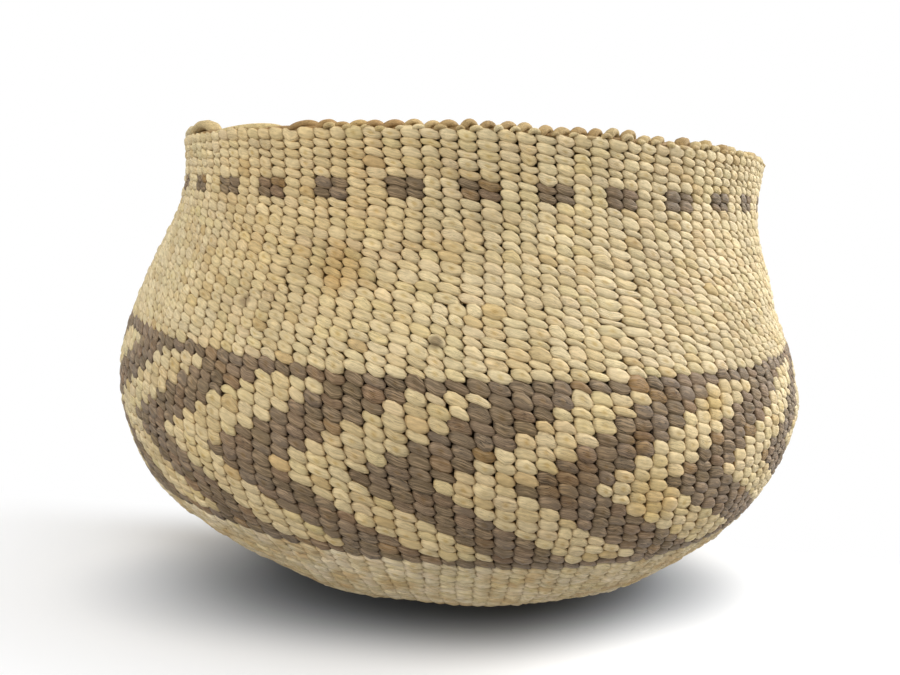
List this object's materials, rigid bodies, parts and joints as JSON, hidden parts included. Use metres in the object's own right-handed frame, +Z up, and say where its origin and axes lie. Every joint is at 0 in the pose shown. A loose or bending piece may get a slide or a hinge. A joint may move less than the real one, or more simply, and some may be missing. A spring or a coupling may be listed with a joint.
{
  "type": "basketry bowl",
  "caption": "Round close-twined basketry bowl with a flat foot, full belly, drawn-in neck, low rim and a dark chevron band under a row of small squares.",
  "frame": {"origin": "on the ground under the middle of the foot", "axes": "+Z up, -Y the front, +X to the right of the front; the rim stands a little higher on +X"},
  "size_m": [0.1499, 0.1498, 0.0933],
  "materials": {
    "light_weft": "split plant stem, dry and straw-coloured, slight sheen",
    "dark_weft": "the same stem dyed dark brown, matt",
    "warp": "two-ply cord of plant stem, matt",
    "rim_lashing": "darker stem of the warp ends, handled, slight sheen"
  },
  "bodies": {
    "root": {"start_outer_courses": "light_weft", "base_outer_courses": "light_weft", "lower_outer_courses": "light_weft", "shoulder_outer_courses": "light_weft", "neck_light_courses": "light_weft", "neck_outer_courses": "light_weft", "base_inner_courses": "light_weft", "lower_inner_courses": "light_weft", "upper_inner_courses": "light_weft", "light_chevron_01": "light_weft", "light_chevron_02": "light_weft", "light_chevron_03": "light_weft", "light_chevron_04": "light_weft", "light_chevron_05": "light_weft", "light_chevron_06": "light_weft", "light_chevron_07": "light_weft", "light_chevron_08": "light_weft", "light_chevron_09": "light_weft", "light_chevron_10": "light_weft", "light_chevron_11": "light_weft", "light_chevron_12": "light_weft", "light_chevron_13": "light_weft", "light_chevron_14": "light_weft", "light_chevron_15": "light_weft", "light_chevron_16": "light_weft", "light_chevron_17": "light_weft", "light_chevron_18": "light_weft", "light_chevron_19": "light_weft", "dark_design_courses": "dark_weft", "neck_dark_squares": "dark_weft", "warps": "warp", "rim_course": "rim_lashing", "rim_tail": "rim_lashing"}
  },
  "joints": []
}
